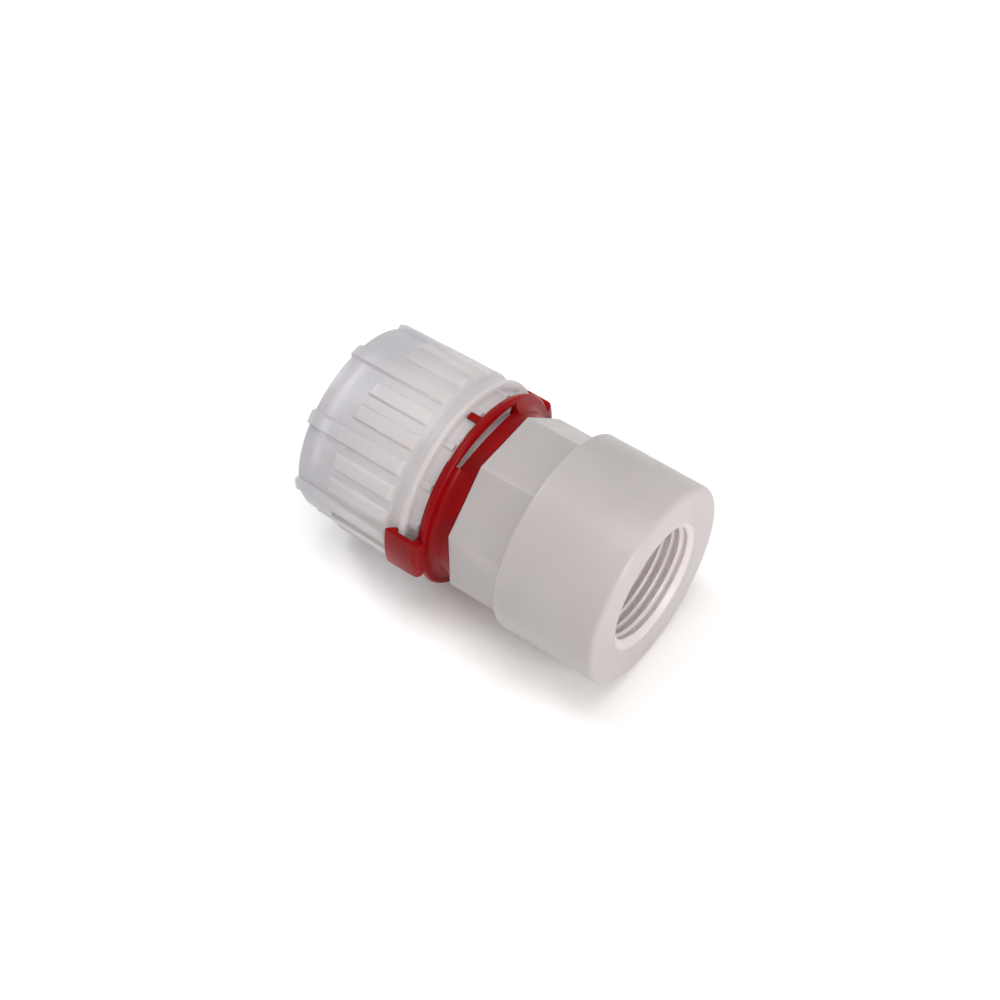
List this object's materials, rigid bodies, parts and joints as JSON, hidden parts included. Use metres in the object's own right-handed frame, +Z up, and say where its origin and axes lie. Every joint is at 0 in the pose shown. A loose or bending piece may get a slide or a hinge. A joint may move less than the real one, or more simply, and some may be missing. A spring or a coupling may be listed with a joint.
{
  "type": "pipe union fitting",
  "caption": "Plastic irrigation union from a plain pipe end to a female pipe thread, with a ribbed clamp nut and a red ratchet lock ring that clips over the nut.",
  "frame": {"origin": "centre of the fitting's box, on its axis", "axes": "+X along the axis, out of the threaded mouth; +Z up, through the middle of one ratchet slot of the lock ring; the two clip arms are on +Y and -Y"},
  "size_m": [0.0905, 0.058, 0.0546],
  "materials": {
    "body_plastic": "satin moulded natural plastic",
    "nut_plastic": "satin translucent natural plastic",
    "ring_plastic": "semi-gloss red plastic",
    "grip_plastic": "satin white acetal",
    "seal_rubber": "black seal rubber"
  },
  "bodies": {
    "body": {"fitting_body": "body_plastic", "pipe_seal": "seal_rubber", "pressing_bush": "grip_plastic"},
    "ring": {"lock_ring": "ring_plastic", "ratchet_tongues": "ring_plastic"},
    "nut": {"clamp_nut": "nut_plastic", "grip_ring": "grip_plastic"}
  },
  "joints": [
    {"name": "lock_ring_slide", "type": "slide", "parent": "body", "child": "ring", "axis": [-1, 0, 0], "range_m": [0, 0.012]},
    {"name": "nut_turn", "type": "hinge", "parent": "ring", "child": "nut", "pos_m": [0, 0, 0], "axis": [-1, 0, 0], "range_deg": [0, 1080], "deforming": ["ratchet_tongues"]}
  ],
  "couplings": [
    {"joint": "nut_turn", "follows": "lock_ring_slide", "rad_per_m": 1570.8}
  ]
}
